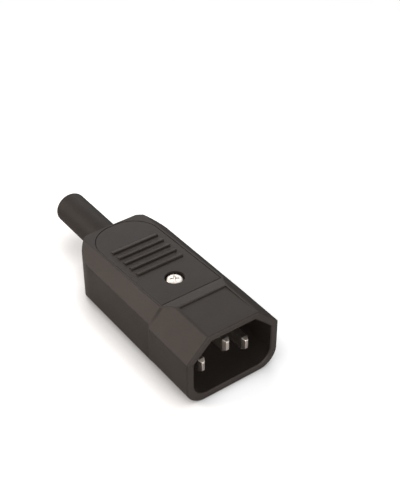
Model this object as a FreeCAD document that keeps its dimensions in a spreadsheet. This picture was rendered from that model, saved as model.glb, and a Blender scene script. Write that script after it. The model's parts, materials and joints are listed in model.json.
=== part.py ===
# Rewireable in-line power plug with three blade pins inside a shroud.
# Each body is drawn with y = 0 at the mating face, +Y towards the cord, z = 0 on the table and x = 0 in
# the middle. Every body is then moved back by half of the overall length, so the row's origin lies at
# the middle of its footprint.
import FreeCAD, Part
import math
import os
import Sketcher

SIZES = {
    # Cavity that the mating socket enters
    "cavity_width": 24.6,
    "cavity_height": 16.8,
    "cavity_depth": 16.8,
    "cavity_bevel_width": 5.4,
    "cavity_bevel_drop": 5.1,
    "cavity_base_radius": 4.4,
    "mouth_chamfer": 0.3,
    # Shroud round the cavity: flat top, two bevelled upper corners, round lower corners
    "shroud_side": 2.2,
    "shroud_floor": 2.05,
    "shroud_roof": 1.95,
    "shroud_bevel_width": 6.5,
    "shroud_bevel_drop": 6.3,
    "shroud_base_radius": 5.6,
    "shroud_overrun": 0.2,
    "bevel_radius": 1.4,
    "crease_radius": 0.8,
    "rim_radius": 0.45,
    "shoulder_length": 4.1,
    # Shallow recess on the shroud's top that runs out towards the mouth
    "label_width": 14.8,
    "label_start": 2.6,
    "label_depth": 0.35,
    "label_margin": 0.5,
    # Rear housing, lower and narrower than the shroud, its top falling towards the cord
    "transition_length": 1.0,
    "housing_run": 39.3,
    "housing_lift": 0.6,
    "housing_fall": 1.95,
    "housing_bevel_width": 3.85,
    "housing_bevel_drop": 4.1,
    "housing_rear_bevel_drop": 2.7,
    "housing_edge_radius": 0.5,
    "housing_base_radius": 3.2,
    "housing_corner_radius": 11.3,
    "housing_corner_inset": 5.65,
    # Walls of the body shell
    "floor_thickness": 1.8,
    "bulkhead_thickness": 1.6,
    "rear_wall": 2.4,
    "well_corner_radius": 5.0,
    # Inset lid
    "cover_thickness": 1.9,
    "cover_corner_radius": 8.6,
    "cover_gap": 0.1,
    "cover_ledge": 0.7,
    "cover_margin": 0.6,
    "cover_chamfer": 0.15,
    "rear_lip": 0.6,
    "locator_thickness": 1.0,
    "locator_depth": 1.2,
    "locator_gap": 0.15,
    "locator_margin": 1.0,
    # Grip ribs, the same on the lid and on the underside
    "rib_count": 5,
    "rib_pitch": 3.05,
    "rib_offset": 6.5,
    "rib_width": 14.7,
    "rib_length": 1.55,
    "rib_crest": 0.35,
    "rib_height": 0.5,
    # Screw and nut that hold the lid, the contact block and the shell together
    "screw_offset": 7.5,
    "screw_diameter": 3.0,
    "screw_clearance": 0.15,
    "thread_gap": 0.05,
    "head_diameter": 5.2,
    "head_height": 2.0,
    "head_sink": 0.35,
    "head_chamfer": 0.5,
    "counterbore_gap": 0.575,
    "boss_wall": 1.0,
    "boss_floor": 1.2,
    "nut_across": 5.5,
    "nut_thickness": 2.4,
    "nut_sink": 0.1,
    "nut_gap": 0.1,
    "nut_roof": 1.5,
    "nut_boss_wall": 1.15,
    # Cross recess, as shares of the head's radius and height
    "cross_span": 0.62,
    "cross_slot": 0.16,
    "cross_depth": 0.55,
    # Contact pins and their screw terminals
    "pin_thickness": 2.0,
    "pin_height": 4.0,
    "pin_spacing": 14.0,
    "pin_rise": 5.65,
    "pin_setback": 3.4,
    "earth_rise": 4.0,
    "earth_lead": 0.9,
    "tip_chamfer": 0.55,
    "tip_taper": 1.1,
    "slot_gap": 0.1,
    "terminal_offset": 3.6,
    "tab_width": 5.0,
    "tab_length": 5.8,
    "earth_tab_width": 5.2,
    "earth_tab_length": 4.7,
    "terminal_screw_diameter": 3.0,
    "terminal_screw_length": 3.8,
    "terminal_head_diameter": 4.6,
    "terminal_head_height": 1.8,
    "terminal_relief": 0.3,
    "terminal_end_gap": 0.15,
    "washer_width": 4.6,
    "washer_thickness": 1.0,
    "lid_clearance": 0.81,
    # Contact block
    "block_side": 0.55,
    "block_side_height": 5.4,
    "block_gap": 0.15,
    "block_front_gap": 0.1,
    "block_margin": 0.7,
    "rail_thickness": 1.0,
    "rail_margin": 1.7,
    "barrier_thickness": 1.2,
    "barrier_height": 6.6,
    "column_wall": 0.95,
    "column_gap": 0.2,
    "tunnel_gap": 0.1,
    # Cord clamp on two pillars
    "clamp_offset": 5.8,
    "clamp_length": 4.0,
    "clamp_thickness": 2.0,
    "clamp_end_gap": 0.4,
    "clamp_arch_wall": 1.5,
    "clamp_screw_inset": 2.4,
    "clamp_screw_length": 8.0,
    "clamp_head_diameter": 4.2,
    "clamp_head_height": 1.6,
    "pillar_rise": 1.3,
    "pillar_hole_spare": 0.6,
    # Soft sleeve for the cord
    "cord_bore": 6.6,
    "cord_slot_gap": 0.2,
    "sleeve_diameter": 9.66,
    "sleeve_length": 24.4,
    "sleeve_end_chamfer": 0.7,
    "sleeve_hole_gap": 0.1,
    "collar_step": 0.77,
    "collar_thickness": 1.8,
    "collar_gap": 0.1,
    "collar_lid_gap": 0.22,
    "groove_lip": 1.1,
}

doc = FreeCAD.newDocument("PowerPlug")
sheet = doc.addObject("Spreadsheet::Sheet", "Sizes")
for row, (size_name, size_value) in enumerate(SIZES.items(), start=1):
    sheet.set("A%d" % row, size_name)
    sheet.set("B%d" % row, str(size_value))
    sheet.setAlias("B%d" % row, size_name)
doc.recompute()

# Places along the plug that several pieces share, as expressions of the sheet's sizes
SHROUD_LENGTH = "(Sizes.cavity_depth + Sizes.shroud_overrun)"
HOUSING_FRONT = "(%s + Sizes.transition_length)" % SHROUD_LENGTH
HOUSING_LENGTH = "(%s + Sizes.housing_run)" % HOUSING_FRONT
SHOULDER_START = "(%s - Sizes.shoulder_length)" % HOUSING_FRONT
MIDDLE = "((%s + Sizes.sleeve_length) / 2)" % HOUSING_LENGTH
WELL_FRONT = "(Sizes.cavity_depth + Sizes.bulkhead_thickness)"
BLOCK_FRONT = "(%s + Sizes.block_front_gap)" % WELL_FRONT
SCREW_PLACE = "(%s + Sizes.screw_offset)" % WELL_FRONT
TERMINAL_PLACE = "(%s + Sizes.terminal_offset)" % SCREW_PLACE
EARTH_TERMINAL_PLACE = "(%s + Sizes.earth_tab_length / 2)" % BLOCK_FRONT
RIB_START = "(%s + Sizes.rib_offset)" % SCREW_PLACE
GROOVE_REAR = "(%s - Sizes.rear_wall)" % HOUSING_LENGTH
GROOVE_FRONT = "(%s - Sizes.collar_thickness - 2 * Sizes.collar_gap)" % GROOVE_REAR
WELL_REAR = "(%s - Sizes.groove_lip)" % GROOVE_FRONT
CLAMP_PLACE = "(%s - Sizes.clamp_offset)" % WELL_REAR
CLAMP_FRONT = "(%s - Sizes.clamp_length / 2)" % CLAMP_PLACE

# Half widths, from the pins outwards
PIN_SIDE = "((Sizes.pin_spacing + Sizes.pin_thickness) / 2)"
BLOCK_HALF = "(%s + Sizes.slot_gap + Sizes.block_side)" % PIN_SIDE
WELL_HALF = "(%s + Sizes.block_gap)" % BLOCK_HALF
COVER_HALF = "(%s + Sizes.cover_ledge)" % WELL_HALF
FLAT_HALF = "(%s + Sizes.cover_margin)" % COVER_HALF
HOUSING_HALF = "(%s + Sizes.housing_bevel_width)" % FLAT_HALF
SHROUD_HALF = "(Sizes.cavity_width / 2 + Sizes.shroud_side)"
TERMINAL_X = "(%s - Sizes.tab_width / 2)" % PIN_SIDE
CLAMP_SCREW_X = "(%s - Sizes.clamp_screw_inset)" % WELL_HALF

# Heights, from the table up through the pins and the screw terminals to the lid
CAVITY_TOP = "(Sizes.shroud_floor + Sizes.cavity_height)"
SHROUD_TOP = "(%s + Sizes.shroud_roof)" % CAVITY_TOP
FLOOR = "(Sizes.housing_lift + Sizes.floor_thickness)"
NUT_TOP = "(Sizes.housing_lift + Sizes.nut_sink + Sizes.nut_thickness)"
PIN_BASE = "(Sizes.shroud_floor + Sizes.pin_rise - Sizes.pin_height / 2)"
TAB_TOP = "(%s + Sizes.pin_thickness)" % PIN_BASE
EARTH_TAB_TOP = "(%s + Sizes.earth_rise)" % TAB_TOP
BOSS_BOTTOM = (
    "(%s + Sizes.washer_thickness + Sizes.terminal_head_height + Sizes.lid_clearance)" % EARTH_TAB_TOP)
HEAD_SEAT = "(%s + Sizes.boss_floor)" % BOSS_BOTTOM
TILT = "atan(Sizes.housing_fall / Sizes.housing_run)"
LID_TOP_AT_SCREW = "(%s + Sizes.head_height + Sizes.head_sink)" % HEAD_SEAT
HOUSING_TOP = "(%s + tan(%s) * (%s - %s))" % (LID_TOP_AT_SCREW, TILT, SCREW_PLACE, HOUSING_FRONT)
LID_BOTTOM_AT_GROOVE = "(%s - tan(%s) * (%s - %s) - Sizes.cover_thickness / cos(%s))" % (
    HOUSING_TOP, TILT, GROOVE_REAR, HOUSING_FRONT, TILT)
COLLAR_RADIUS = "(Sizes.sleeve_diameter / 2 + Sizes.collar_step)"
CORD_HEIGHT = "(%s - Sizes.collar_lid_gap - %s)" % (LID_BOTTOM_AT_GROOVE, COLLAR_RADIUS)
PILLAR_TOP = "(%s + Sizes.pillar_rise)" % CORD_HEIGHT
OPEN_TOP = "(%s + Sizes.cavity_height)" % SHROUD_TOP

# Radii and lengths that a hole and its piece share
SCREW_HOLE = "(Sizes.screw_diameter / 2 + Sizes.screw_clearance)"
NUT_BOSS_RADIUS = "(Sizes.nut_across / 2 + Sizes.nut_gap + Sizes.nut_boss_wall)"
CORD_SLOT = "(Sizes.cord_bore / 2 + Sizes.cord_slot_gap)"
COVER_REAR = "((Sizes.housing_run - Sizes.rear_lip) / cos(%s))" % TILT


def value(expression):
    """The number that an expression of the sheet's sizes gives."""
    return float(sheet.evalExpression(expression))


def body(label, x="0", z="0"):
    """An empty body, moved back to the row's origin and to its own place."""
    new = doc.addObject("PartDesign::Body", label)
    new.Label = label
    new.setExpression("Placement.Base.x", x)
    new.setExpression("Placement.Base.y", "-" + MIDDLE)
    new.setExpression("Placement.Base.z", z)
    return new


def sketch(owner, name, role, level="0"):
    """A sketch on one of the body's origin planes, or on a plane parallel to it at the given level."""
    new = owner.newObject("Sketcher::SketchObject", name)
    origin_plane = next(item for item in owner.Origin.OriginFeatures if item.Role == role)
    new.AttachmentSupport = [(origin_plane, "")]
    new.MapMode = "FlatFace"
    sign = "-" if role == "XZ_Plane" else ""
    new.setExpression("AttachmentOffset.Base.z", sign + "(" + level + ")")
    return new


def bind(target, kind, parts, expression, label):
    """One named dimension that follows an expression; a negative one is measured the other way."""
    number = value(expression)
    if number < 0:
        parts = parts[2:] + parts[:2]
        expression = "-(" + expression + ")"
    index = target.addConstraint(Sketcher.Constraint(kind, *parts, abs(number)))
    target.renameConstraint(index, label)
    target.setExpression("Constraints." + label, expression)


def place(target, geometry, point, x, y, label):
    """Fixes a point of the sketch at x, y from the sketch's origin."""
    bind(target, "DistanceX", (-1, 1, geometry, point), x, label + "_x")
    bind(target, "DistanceY", (-1, 1, geometry, point), y, label + "_y")


def quarter(target, centre, radius, one, other):
    """Adds the shorter arc between two points; gives its index and the point numbers of both ends."""
    angles = [math.atan2(point.y - centre.y, point.x - centre.x) for point in (one, other)]
    turn = (angles[1] - angles[0]) % (2 * math.pi)
    first, last = (angles[0], angles[1]) if turn < math.pi else (angles[1], angles[0])
    if last < first:
        last += 2 * math.pi
    circle_drawn = Part.Circle(centre, FreeCAD.Vector(0, 0, 1), radius)
    arc = target.addGeometry(Part.ArcOfCircle(circle_drawn, first, last))
    return (arc, 1, 2) if turn < math.pi else (arc, 2, 1)


def outline(target, corners, label="corner"):
    """A closed outline through corners (x, y) or (x, y, radius), each size an expression."""
    count = len(corners)
    points = [FreeCAD.Vector(value(corner[0]), value(corner[1]), 0) for corner in corners]
    bends = []
    for index in range(count):
        here = points[index]
        back = (points[index - 1] - here).normalize()
        ahead = (points[(index + 1) % count] - here).normalize()
        if len(corners[index]) == 2:
            bends.append((here, here, None))
            continue
        radius = value(corners[index][2])
        half_angle = back.getAngle(ahead) / 2
        reach = radius / math.tan(half_angle)
        centre = here + (back + ahead).normalize() * (radius / math.sin(half_angle))
        bends.append((here + back * reach, here + ahead * reach, centre))
    lines = []
    for index in range(count):
        start = bends[index][1]
        end = bends[(index + 1) % count][0]
        lines.append(target.addGeometry(Part.LineSegment(start, end)))
    for index in range(count):
        name = "%s_%d" % (label, index + 1)
        before = lines[index - 1]
        after = lines[index]
        start, end, centre = bends[index]
        if centre is None:
            target.addConstraint(Sketcher.Constraint("Coincident", before, 2, after, 1))
            place(target, after, 1, corners[index][0], corners[index][1], name)
            continue
        arc, start_end, far_end = quarter(target, centre, value(corners[index][2]), start, end)
        corner = target.addGeometry(Part.Point(points[index]))
        target.addConstraint(Sketcher.Constraint("Tangent", before, 2, arc, start_end))
        target.addConstraint(Sketcher.Constraint("Tangent", after, 1, arc, far_end))
        target.addConstraint(Sketcher.Constraint("PointOnObject", corner, 1, before))
        target.addConstraint(Sketcher.Constraint("PointOnObject", corner, 1, after))
        bind(target, "Radius", (arc,), corners[index][2], name + "_radius")
        place(target, corner, 1, corners[index][0], corners[index][1], name)


def rectangle(target, x_low, x_high, y_low, y_high, label="corner"):
    """A closed rectangle between the given sides."""
    outline(target, [(x_low, y_low), (x_high, y_low), (x_high, y_high), (x_low, y_high)], label)


def circle(target, x, y, radius, label="circle"):
    """A circle round x, y."""
    centre = FreeCAD.Vector(value(x), value(y), 0)
    geometry = target.addGeometry(Part.Circle(centre, FreeCAD.Vector(0, 0, 1), value(radius)))
    bind(target, "Radius", (geometry,), radius, label + "_radius")
    place(target, geometry, 3, x, y, label)


def mirrored(corners):
    """The right half's corners, from the bottom up, followed by their mirror images at the left."""
    left = [("-(" + corner[0] + ")",) + tuple(corner[1:]) for corner in reversed(corners)]
    return list(corners) + left


def slot_corners(half_width, height):
    """A slot with a half-round bottom centred at the height, open upwards beyond the housing's top."""
    bottom = "(%s - %s)" % (height, half_width)
    almost = "(%s * 0.999)" % half_width
    return mirrored([(half_width, bottom, almost), (half_width, OPEN_TOP)])


def feature(owner, kind, name, profile):
    """A feature of the body made from one sketch."""
    new = owner.newObject("PartDesign::" + kind, name)
    new.Profile = profile
    return new


def pad(owner, profile, length, reverse=False, both=False):
    """Adds the sketch's area along its normal, against it if reversed, or to both sides."""
    new = feature(owner, "Pad", profile.Name + "_pad", profile)
    new.setExpression("Length", length)
    new.Reversed = reverse
    if both:
        new.SideType = "Symmetric"
    doc.recompute()
    return new


def cut(owner, profile, length=None, reverse=False, both=False):
    """Removes the sketch's area, to a length or through all, and makes sure that something went."""
    before = owner.Tip.Shape.Volume
    new = feature(owner, "Pocket", profile.Name + "_cut", profile)
    if length is None:
        new.Type = "ThroughAll"
    else:
        new.setExpression("Length", length)
    new.Reversed = reverse
    if both:
        new.SideType = "Symmetric"
    doc.recompute()
    if not new.Shape.Volume < before:
        raise ValueError(new.Name + " removes nothing")
    return new


def edges(solid, test):
    """Names of the edges whose ends and middle all pass the test."""
    names = []
    for index, edge in enumerate(solid.Shape.Edges, start=1):
        middle = edge.valueAt((edge.FirstParameter + edge.LastParameter) / 2)
        if all(test(point) for point in [middle] + [vertex.Point for vertex in edge.Vertexes]):
            names.append("Edge%d" % index)
    return names


def soften(owner, kind, name, size_path, size, test):
    """A fillet or chamfer on the edges that pass the test."""
    base = owner.Tip
    new = owner.newObject("PartDesign::" + kind, name)
    new.Base = (base, edges(base, test))
    new.setExpression(size_path, size)
    doc.recompute()
    return new


def ribs(owner, name, origin, angle, height, downwards):
    """Grip ribs across a nearly flat face: steep at the front, crest falling away behind."""
    profile = sketch(owner, name, "YZ_Plane")
    profile.setExpression("AttachmentOffset", "placement(vector(%s; 0); rotation(vector(0; 0; 1); %s))"
                          % (origin, angle))
    side = "-" if downwards else ""
    crest = "%s(%s)" % (side, height)
    root = "-(%s)/2" % crest
    start = "((%s - %s) / cos(%s))" % (RIB_START, HOUSING_FRONT, TILT)
    outline(profile, [
        (start, root),
        (start + " + Sizes.rib_length", root),
        (start + " + Sizes.rib_length", "0"),
        (start + " + Sizes.rib_crest", crest),
        (start, crest)])
    rib = pad(owner, profile, "Sizes.rib_width", both=True)
    pattern = owner.newObject("PartDesign::LinearPattern", name + "_row")
    pattern.Originals = [rib]
    pattern.Direction = (profile, ["H_Axis"])
    pattern.Mode = "Spacing"
    pattern.setExpression("Offset", "Sizes.rib_pitch")
    pattern.setExpression("Occurrences", "Sizes.rib_count")
    owner.Tip = pattern
    doc.recompute()


def lid_plane(target):
    """Lays a sketch on the slanting plane on which the lid rests, its origin under the lid's front edge."""
    offset = (
        "placement(vector(0; %s - Sizes.cover_thickness * sin(%s);"
        " %s - Sizes.cover_thickness * cos(%s)); rotation(vector(1; 0; 0); -%s))"
        % (HOUSING_FRONT, TILT, HOUSING_TOP, TILT, TILT))
    target.setExpression("AttachmentOffset", offset)


def corner_waste(target, side, label):
    """The area outside one round rear corner of the housing: a square with a quarter circle taken out.

    The circle touches the side and meets the rear face at an edge, the corner's inset away from the side.
    """
    centre_x = side + "(%s - Sizes.housing_corner_radius)" % HOUSING_HALF
    centre_y = (
        "(%s - sqrt(Sizes.housing_corner_radius ^ 2"
        " - (Sizes.housing_corner_radius - Sizes.housing_corner_inset) ^ 2))" % HOUSING_LENGTH)
    centre = FreeCAD.Vector(value(centre_x), value(centre_y), 0)
    radius = value("Sizes.housing_corner_radius")
    beyond = radius + value("Sizes.rear_wall")
    across = -1 if side else 1
    side_point = centre + FreeCAD.Vector(across * radius, 0, 0)
    rear_point = centre + FreeCAD.Vector(0, radius, 0)
    arc, side_end, rear_end = quarter(target, centre, radius, side_point, rear_point)
    place(target, arc, 3, centre_x, centre_y, label + "_centre")
    bind(target, "Radius", (arc,), "Sizes.housing_corner_radius", label + "_radius")
    outside = [
        rear_point,
        centre + FreeCAD.Vector(0, beyond, 0),
        centre + FreeCAD.Vector(across * beyond, beyond, 0),
        centre + FreeCAD.Vector(across * beyond, 0, 0),
        side_point]
    lines = [target.addGeometry(Part.LineSegment(start, end)) for start, end in zip(outside, outside[1:])]
    target.addConstraint(Sketcher.Constraint("Coincident", lines[0], 1, arc, rear_end))
    for before, after in zip(lines, lines[1:]):
        target.addConstraint(Sketcher.Constraint("Coincident", before, 2, after, 1))
    target.addConstraint(Sketcher.Constraint("Coincident", lines[3], 2, arc, side_end))
    for line, kind in zip(lines, ("Vertical", "Horizontal", "Vertical", "Horizontal")):
        target.addConstraint(Sketcher.Constraint(kind, line))
    target.addConstraint(Sketcher.Constraint("Vertical", arc, 3, lines[0], 1))
    target.addConstraint(Sketcher.Constraint("Horizontal", arc, 3, lines[3], 2))
    beyond_size = "(Sizes.housing_corner_radius + Sizes.rear_wall)"
    place(target, lines[1], 2, "%s + %s%s" % (centre_x, side or "1 * ", beyond_size),
          "%s + %s" % (centre_y, beyond_size), label + "_far")


def body_shell():
    """One moulding: the shroud, the rear housing with its well for the contacts, and the rear wall."""
    shell = body("body_shell")

    # Shroud, as far as the shoulder
    shroud_corners = mirrored([
        (SHROUD_HALF, "0", "Sizes.shroud_base_radius"),
        (SHROUD_HALF, SHROUD_TOP + " - Sizes.shroud_bevel_drop", "Sizes.crease_radius"),
        (SHROUD_HALF + " - Sizes.shroud_bevel_width", SHROUD_TOP, "Sizes.bevel_radius")])
    front = sketch(shell, "shroud_section", "XZ_Plane")
    outline(front, shroud_corners)
    pad(shell, front, SHOULDER_START, reverse=True)
    soften(shell, "Fillet", "rim_fillet", "Radius", "Sizes.rim_radius", lambda point: abs(point.y) < 1e-6)

    # Shoulder down to the housing, the narrow facet behind the shroud and the housing to its rear face
    join_top = "(%s + (%s - %s) * Sizes.transition_length / Sizes.shoulder_length)" % (
        HOUSING_TOP, SHROUD_TOP, HOUSING_TOP)
    join_half = (
        "(%s - Sizes.shroud_bevel_width + (%s - %s) * Sizes.shroud_bevel_width / Sizes.shroud_bevel_drop)"
        % (SHROUD_HALF, SHROUD_TOP, join_top))
    shoulder = sketch(shell, "shoulder_section", "XZ_Plane", SHOULDER_START)
    outline(shoulder, shroud_corners)
    join = sketch(shell, "join_section", "XZ_Plane", SHROUD_LENGTH)
    outline(join, mirrored([
        (SHROUD_HALF, "0", "Sizes.shroud_base_radius"),
        (SHROUD_HALF, SHROUD_TOP + " - Sizes.shroud_bevel_drop", "Sizes.crease_radius"),
        (join_half, join_top, "Sizes.housing_edge_radius")]))
    sections = [join]
    for name, level, top, bevel_drop in (
            ("housing_front_section", HOUSING_FRONT, HOUSING_TOP, "Sizes.housing_bevel_drop"),
            ("housing_rear_section", HOUSING_LENGTH, HOUSING_TOP + " - Sizes.housing_fall",
             "Sizes.housing_rear_bevel_drop")):
        end = sketch(shell, name, "XZ_Plane", level)
        outline(end, mirrored([
            (HOUSING_HALF, "Sizes.housing_lift", "Sizes.housing_base_radius"),
            (HOUSING_HALF, "%s - %s" % (top, bevel_drop), "Sizes.crease_radius"),
            (FLAT_HALF, top, "Sizes.housing_edge_radius")]))
        sections.append(end)
    loft = feature(shell, "AdditiveLoft", "housing_loft", shoulder)
    loft.Sections = sections
    loft.Ruled = True
    doc.recompute()

    # Round rear corners, seen from above
    corners = sketch(shell, "rear_corners", "XY_Plane")
    corner_waste(corners, "", "right")
    corner_waste(corners, "-", "left")
    cut(shell, corners, reverse=True)

    # Cavity for the mating socket
    cavity = sketch(shell, "cavity", "XZ_Plane")
    outline(cavity, mirrored([
        ("Sizes.cavity_width / 2", "Sizes.shroud_floor", "Sizes.cavity_base_radius"),
        ("Sizes.cavity_width / 2", CAVITY_TOP + " - Sizes.cavity_bevel_drop"),
        ("Sizes.cavity_width / 2 - Sizes.cavity_bevel_width", CAVITY_TOP)]))
    cut(shell, cavity, "Sizes.cavity_depth")
    mouth = value("Sizes.cavity_width / 2") + 1e-6
    low = value("Sizes.shroud_floor") - 1e-6
    high = value(CAVITY_TOP) + 1e-6
    soften(shell, "Chamfer", "mouth_edge", "Size", "Sizes.mouth_chamfer",
           lambda point: abs(point.y) < 1e-6 and abs(point.x) < mouth and low < point.z < high)

    # Recess on top of the shroud, deepest at its rear edge
    label = sketch(shell, "label_recess", "YZ_Plane")
    label_rear = "(%s - Sizes.label_margin)" % SHOULDER_START
    outline(label, [
        ("Sizes.label_start", SHROUD_TOP),
        (label_rear, SHROUD_TOP + " - Sizes.label_depth"),
        (label_rear, OPEN_TOP),
        ("Sizes.label_start", OPEN_TOP)])
    cut(shell, label, "Sizes.label_width", both=True)

    # Well behind the bulkhead, and the slanting seat for the lid
    well = sketch(shell, "well", "XY_Plane", FLOOR)
    outline(well, [
        ("-" + WELL_HALF, WELL_FRONT),
        (WELL_HALF, WELL_FRONT),
        (WELL_HALF, WELL_REAR, "Sizes.well_corner_radius"),
        ("-" + WELL_HALF, WELL_REAR, "Sizes.well_corner_radius")])
    cut(shell, well, reverse=True)
    seat = sketch(shell, "lid_seat", "XY_Plane")
    lid_plane(seat)
    seat_half = "(%s + Sizes.cover_gap)" % COVER_HALF
    seat_rear = "(%s + Sizes.cover_gap)" % COVER_REAR
    seat_radius = "(Sizes.cover_corner_radius + Sizes.cover_gap)"
    outline(seat, [
        ("-" + seat_half, "0"),
        (seat_half, "0"),
        (seat_half, seat_rear, seat_radius),
        ("-" + seat_half, seat_rear, seat_radius)])
    cut(shell, seat, reverse=True)

    # Slots in the bulkhead for the pins
    slots = sketch(shell, "pin_slots", "XZ_Plane", "Sizes.cavity_depth")
    slot_half = "(Sizes.pin_thickness / 2 + Sizes.slot_gap)"
    for name, x, rise in (
            ("line", "-(Sizes.pin_spacing / 2)", "0"),
            ("neutral", "(Sizes.pin_spacing / 2)", "0"),
            ("earth", "0", "Sizes.earth_rise")):
        low_edge = "(%s + %s - Sizes.slot_gap)" % (PIN_BASE, rise)
        rectangle(slots, x + " - " + slot_half, x + " + " + slot_half,
                  low_edge, low_edge + " + Sizes.pin_height + 2 * Sizes.slot_gap", name)
    cut(shell, slots, "Sizes.bulkhead_thickness")

    # Boss round the nut, its hexagonal recess from below and the screw's way through
    boss = sketch(shell, "nut_boss", "XY_Plane", FLOOR)
    circle(boss, "0", SCREW_PLACE, NUT_BOSS_RADIUS)
    pad(shell, boss, "%s + Sizes.nut_roof - %s" % (NUT_TOP, FLOOR))
    recess = sketch(shell, "nut_recess", "XY_Plane", "Sizes.housing_lift")
    hexagon(recess, "Sizes.nut_across / 2 + Sizes.nut_gap")
    cut(shell, recess, "Sizes.nut_thickness + Sizes.nut_sink", reverse=True)
    way = sketch(shell, "screw_way", "XY_Plane", NUT_TOP)
    circle(way, "0", SCREW_PLACE, SCREW_HOLE)
    cut(shell, way, "Sizes.nut_roof", reverse=True)

    # Cradle and pillars for the cord clamp, and the screws' holes in them
    cradle = sketch(shell, "clamp_cradle", "XY_Plane", FLOOR)
    rectangle(cradle, "-" + WELL_HALF, WELL_HALF, CLAMP_FRONT, CLAMP_FRONT + " + Sizes.clamp_length")
    pad(shell, cradle, "%s - %s" % (PILLAR_TOP, FLOOR))
    holes = sketch(shell, "clamp_screw_holes", "XY_Plane", PILLAR_TOP)
    for side, name in (("", "right"), ("-", "left")):
        circle(holes, side + CLAMP_SCREW_X, CLAMP_PLACE,
               "Sizes.screw_diameter / 2 + Sizes.thread_gap", name)
    cut(shell, holes, "Sizes.clamp_screw_length - Sizes.clamp_thickness + Sizes.pillar_hole_spare")

    # The cord's way through the cradle and the groove's lip, the collar's groove and the sleeve's hole
    cord_way = sketch(shell, "cord_way", "XZ_Plane", CLAMP_FRONT)
    outline(cord_way, slot_corners(CORD_SLOT, CORD_HEIGHT))
    cut(shell, cord_way, "%s - %s" % (GROOVE_FRONT, CLAMP_FRONT))
    groove = sketch(shell, "collar_groove", "XZ_Plane", GROOVE_FRONT)
    outline(groove, slot_corners("(%s + Sizes.collar_gap)" % COLLAR_RADIUS, CORD_HEIGHT))
    cut(shell, groove, "%s - %s" % (GROOVE_REAR, GROOVE_FRONT))
    hole = sketch(shell, "sleeve_hole", "XZ_Plane", GROOVE_REAR)
    circle(hole, "0", CORD_HEIGHT, "Sizes.sleeve_diameter / 2 + Sizes.sleeve_hole_gap")
    cut(shell, hole, "Sizes.rear_wall")

    # Grip ribs underneath, as low as the shroud
    ribs(shell, "under_ribs", "%s; Sizes.housing_lift" % HOUSING_FRONT, "0", "Sizes.housing_lift", True)


def hexagon(target, apothem):
    """A hexagon round the screw's axis, two of its sides across the plug."""
    half_side = "((%s) / sqrt(3))" % apothem
    low = "(%s - (%s))" % (SCREW_PLACE, apothem)
    high = "(%s + (%s))" % (SCREW_PLACE, apothem)
    outline(target, [
        ("-" + half_side, low),
        (half_side, low),
        ("2 * " + half_side, SCREW_PLACE),
        (half_side, high),
        ("-" + half_side, high),
        ("-2 * " + half_side, SCREW_PLACE)])


def top_cover():
    """The inset lid, with the screw's counterbore in a boss, five grip ribs and two locating ribs."""
    cover = body("top_cover")
    plate = sketch(cover, "lid_outline", "XY_Plane")
    lid_plane(plate)
    outline(plate, [
        ("-" + COVER_HALF, "Sizes.cover_gap"),
        (COVER_HALF, "Sizes.cover_gap"),
        (COVER_HALF, COVER_REAR, "Sizes.cover_corner_radius"),
        ("-" + COVER_HALF, COVER_REAR, "Sizes.cover_corner_radius")])
    pad(cover, plate, "Sizes.cover_thickness")
    fall = value("tan(%s)" % TILT)
    front = value(HOUSING_FRONT)
    top = value(HOUSING_TOP)
    soften(cover, "Chamfer", "lid_edge", "Size", "Sizes.cover_chamfer",
           lambda point: abs(point.z - top + fall * (point.y - front)) < 1e-4)

    # Boss under the plate, the head's counterbore and the screw's hole
    boss = sketch(cover, "screw_boss", "XY_Plane", BOSS_BOTTOM)
    counterbore_radius = "(Sizes.head_diameter / 2 + Sizes.counterbore_gap)"
    circle(boss, "0", SCREW_PLACE, counterbore_radius + " + Sizes.boss_wall")
    pad(cover, boss, "Sizes.boss_floor + Sizes.head_height")
    counterbore = sketch(cover, "counterbore", "XY_Plane", HEAD_SEAT)
    circle(counterbore, "0", SCREW_PLACE, counterbore_radius)
    cut(cover, counterbore, reverse=True)
    way = sketch(cover, "screw_way_in_lid", "XY_Plane", HEAD_SEAT)
    circle(way, "0", SCREW_PLACE, SCREW_HOLE)
    cut(cover, way)

    # Ribs that locate the lid between the well's sides
    locators = sketch(cover, "locators", "XY_Plane")
    lid_plane(locators)
    outer = "(%s - Sizes.locator_gap)" % WELL_HALF
    inner = "(%s - Sizes.locator_thickness)" % outer
    start = "(%s + %s + Sizes.boss_wall + Sizes.locator_margin - %s)" % (
        SCREW_PLACE, counterbore_radius, HOUSING_FRONT)
    end = "(%s - Sizes.locator_margin - %s)" % (CLAMP_FRONT, HOUSING_FRONT)
    for side, name in (("", "right"), ("-", "left")):
        rectangle(locators, side + inner, side + outer, start, end, name)
    pad(cover, locators, "Sizes.locator_depth", reverse=True)

    ribs(cover, "grip_ribs", "%s; %s" % (HOUSING_FRONT, HOUSING_TOP), "-" + TILT, "Sizes.rib_height", False)


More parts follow.
